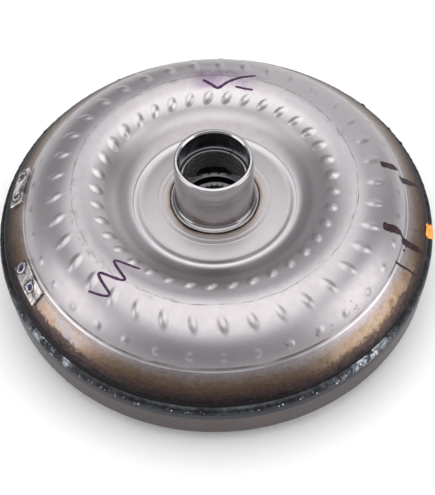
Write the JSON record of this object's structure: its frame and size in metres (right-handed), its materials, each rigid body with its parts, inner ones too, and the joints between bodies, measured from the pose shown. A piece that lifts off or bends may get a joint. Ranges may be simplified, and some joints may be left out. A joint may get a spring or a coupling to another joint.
{
  "type": "torque converter",
  "caption": "Lock-up torque converter: welded round steel housing with pump hub, impeller and turbine blading, stator on a one-way clutch, torsional damper and lock-up piston.",
  "frame": {"origin": "on the axis of rotation, in the plane of the drive-lug faces that bolt to the flexplate", "axes": "+Z along the axis of rotation, out of the pump hub towards the transmission; +X and +Y across, +X through a drive lug"},
  "size_m": [0.272, 0.272, 0.0987],
  "materials": {
    "shell_steel": "satin pressed steel",
    "cover_steel": "dull drawn steel",
    "machined_steel": "turned bright steel",
    "weld_bead": "dark oxidised weld",
    "bush_bronze": "bronze-lined bush",
    "blade_steel": "plain sheet steel",
    "cast_aluminium": "as cast",
    "bearing_steel": "ground bearing steel",
    "friction_paper": "paper friction lining",
    "seal_polymer": "seal ring",
    "spring_steel": "oil-tempered wire"
  },
  "bodies": {
    "housing": {"front_cover": "cover_steel", "pilot_boss": "machined_steel", "pilot_weld": "weld_bead", "drive_lugs": "machined_steel", "lug_welds": "weld_bead", "impeller_shell": "shell_steel", "closure_weld": "weld_bead", "impeller_hub": "machined_steel", "hub_weld": "weld_bead", "hub_bush": "bush_bronze", "balance_weight_a": "shell_steel", "balance_weight_b": "shell_steel", "impeller_blades": "blade_steel", "impeller_core_ring": "blade_steel", "pump_bearing_race": "bearing_steel", "front_thrust_washer": "bush_bronze"},
    "turbine": {"turbine_shell": "blade_steel", "turbine_blades": "blade_steel", "turbine_core_ring": "blade_steel", "turbine_hub": "machined_steel", "turbine_hub_rivets": "machined_steel", "damper_driven_ring": "blade_steel", "piston_seal_ring": "seal_polymer", "turbine_bearing_race": "bearing_steel"},
    "stator_race": {"stator_inner_race": "bearing_steel"},
    "stator": {"stator_wheel": "cast_aluminium", "clutch_cam": "bearing_steel", "clutch_rollers": "bearing_steel", "clutch_springs": "spring_steel", "stator_front_cap": "cast_aluminium", "stator_rear_cap": "cast_aluminium", "stator_snap_ring": "spring_steel", "stator_pump_side_race": "bearing_steel", "stator_turbine_side_race": "bearing_steel"},
    "pump_bearing": {"pump_bearing_cage": "blade_steel", "pump_bearing_needles": "bearing_steel"},
    "turbine_bearing": {"turbine_bearing_cage": "blade_steel", "turbine_bearing_needles": "bearing_steel"},
    "damper": {"damper_carrier": "blade_steel", "damper_end_ring": "blade_steel", "damper_rivets": "machined_steel", "damper_springs": "spring_steel"},
    "piston": {"lockup_piston": "blade_steel", "friction_lining": "friction_paper"}
  },
  "joints": [
    {"name": "turbine_spin", "type": "hinge", "parent": "housing", "child": "turbine", "pos_m": [0, 0, 0.03], "axis": [0, 0, 1], "continuous": true},
    {"name": "stator_race_spin", "type": "hinge", "parent": "housing", "child": "stator_race", "pos_m": [0, 0, 0.0446], "axis": [0, 0, 1], "continuous": true},
    {"name": "stator_overrun", "type": "hinge", "parent": "stator_race", "child": "stator", "pos_m": [0, 0, 0.0446], "axis": [0, 0, 1], "range_deg": [0, 360]},
    {"name": "pump_bearing_spin", "type": "hinge", "parent": "housing", "child": "pump_bearing", "pos_m": [0, 0, 0.0545], "axis": [0, 0, 1], "continuous": true},
    {"name": "turbine_bearing_spin", "type": "hinge", "parent": "housing", "child": "turbine_bearing", "pos_m": [0, 0, 0.0347], "axis": [0, 0, 1], "continuous": true},
    {"name": "damper_twist", "type": "hinge", "parent": "turbine", "child": "damper", "pos_m": [0, 0, 0.0252], "axis": [0, 0, 1], "range_deg": [-8, 8], "stiffness_Nm_per_rad": 150, "deforming": ["damper_springs"]},
    {"name": "piston_stroke", "type": "slide", "parent": "damper", "child": "piston", "axis": [0, 0, 1], "range_m": [0, 0.0011]}
  ],
  "couplings": [
    {"joint": "pump_bearing_spin", "follows": "stator_race_spin", "ratio": 0.5},
    {"joint": "turbine_bearing_spin", "follows": "turbine_spin", "ratio": 0.5}
  ]
}
